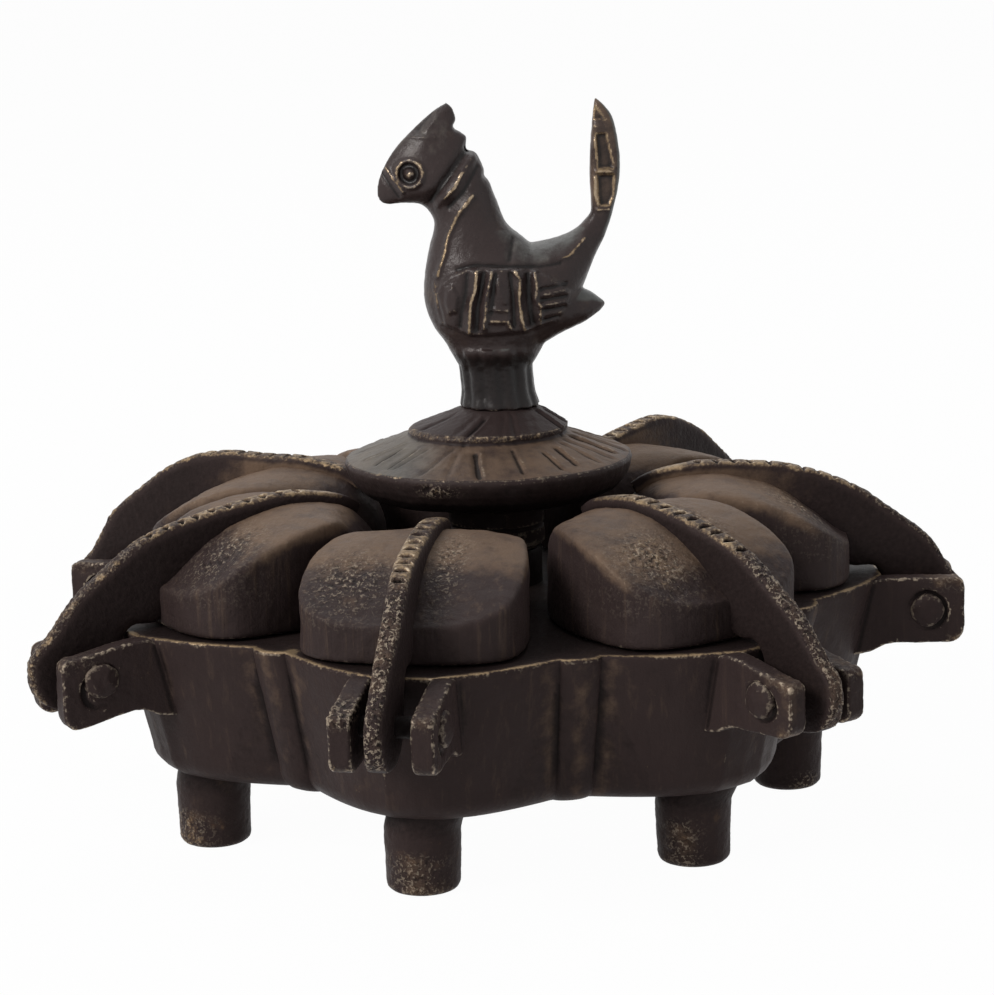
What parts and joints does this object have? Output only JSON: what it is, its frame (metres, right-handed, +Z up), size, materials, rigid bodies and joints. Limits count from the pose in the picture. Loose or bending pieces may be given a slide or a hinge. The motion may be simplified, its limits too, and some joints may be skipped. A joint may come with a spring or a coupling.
{
  "type": "kumkum box",
  "caption": "Kumkum box: a lobed bronze casting on peg feet with leaf-shaped cups, hinged domed lids with notched crest ribs, and a bird on a tiered disc that screws down over the lids.",
  "frame": {"origin": "middle of the object's footprint box at the height of the feet's undersides, where it stands", "axes": "+Z up along the screw; lobe 1 points to -Y; +X to the right of it, across the widest extent"},
  "size_m": [0.153, 0.149, 0.1121],
  "materials": {
    "dark_bronze": "dark waxed cast bronze, satin, with fine casting marks",
    "worn_bronze": "brown cast bronze, worn bright and golden on the ribs and edges",
    "rivet_metal": "hammered rivet and screw bronze, dark"
  },
  "bodies": {
    "box": {"body": "dark_bronze", "hinge_pin_1": "rivet_metal", "hinge_pin_2": "rivet_metal", "hinge_pin_3": "rivet_metal", "hinge_pin_4": "rivet_metal", "hinge_pin_5": "rivet_metal", "hinge_pin_6": "rivet_metal", "hinge_pin_7": "rivet_metal", "foot_1": "dark_bronze", "foot_2": "dark_bronze", "foot_3": "dark_bronze", "foot_4": "dark_bronze", "foot_5": "dark_bronze", "foot_6": "dark_bronze", "foot_7": "dark_bronze", "screw_stud": "rivet_metal"},
    "lid_1": {"lid_1": "worn_bronze"},
    "lid_2": {"lid_2": "worn_bronze"},
    "lid_3": {"lid_3": "worn_bronze"},
    "lid_4": {"lid_4": "worn_bronze"},
    "lid_5": {"lid_5": "worn_bronze"},
    "lid_6": {"lid_6": "worn_bronze"},
    "lid_7": {"lid_7": "worn_bronze"},
    "collar": {"lift_collar": "dark_bronze"},
    "finial": {"lock_disc": "worn_bronze", "bird_finial": "dark_bronze"}
  },
  "joints": [
    {"name": "lid_1_hinge", "type": "hinge", "parent": "box", "child": "lid_1", "pos_m": [0, -0.06544, 0.0301], "axis": [1, 0, 0], "range_deg": [0, 120]},
    {"name": "lid_2_hinge", "type": "hinge", "parent": "box", "child": "lid_2", "pos_m": [0.05395, -0.03946, 0.0301], "axis": [0.6235, 0.7818, 0], "range_deg": [0, 120]},
    {"name": "lid_3_hinge", "type": "hinge", "parent": "box", "child": "lid_3", "pos_m": [0.06727, 0.01891, 0.0301], "axis": [-0.2225, 0.9749, 0], "range_deg": [0, 120]},
    {"name": "lid_4_hinge", "type": "hinge", "parent": "box", "child": "lid_4", "pos_m": [0.02994, 0.06572, 0.0301], "axis": [-0.901, 0.4339, 0], "range_deg": [0, 120]},
    {"name": "lid_5_hinge", "type": "hinge", "parent": "box", "child": "lid_5", "pos_m": [-0.02994, 0.06572, 0.0301], "axis": [-0.901, -0.4339, 0], "range_deg": [0, 120]},
    {"name": "lid_6_hinge", "type": "hinge", "parent": "box", "child": "lid_6", "pos_m": [-0.06727, 0.01891, 0.0301], "axis": [-0.2225, -0.9749, 0], "range_deg": [0, 120]},
    {"name": "lid_7_hinge", "type": "hinge", "parent": "box", "child": "lid_7", "pos_m": [-0.05395, -0.03946, 0.0301], "axis": [0.6235, -0.7818, 0], "range_deg": [0, 120]},
    {"name": "finial_lift", "type": "slide", "parent": "box", "child": "collar", "axis": [0, 0, 1], "range_m": [0, 0.008]},
    {"name": "finial_turn", "type": "hinge", "parent": "collar", "child": "finial", "pos_m": [0, 0.00356, 0.06], "axis": [0, 0, 1], "range_deg": [0, 1441]}
  ],
  "couplings": [
    {"joint": "finial_turn", "follows": "finial_lift", "rad_per_m": 3141.6}
  ]
}
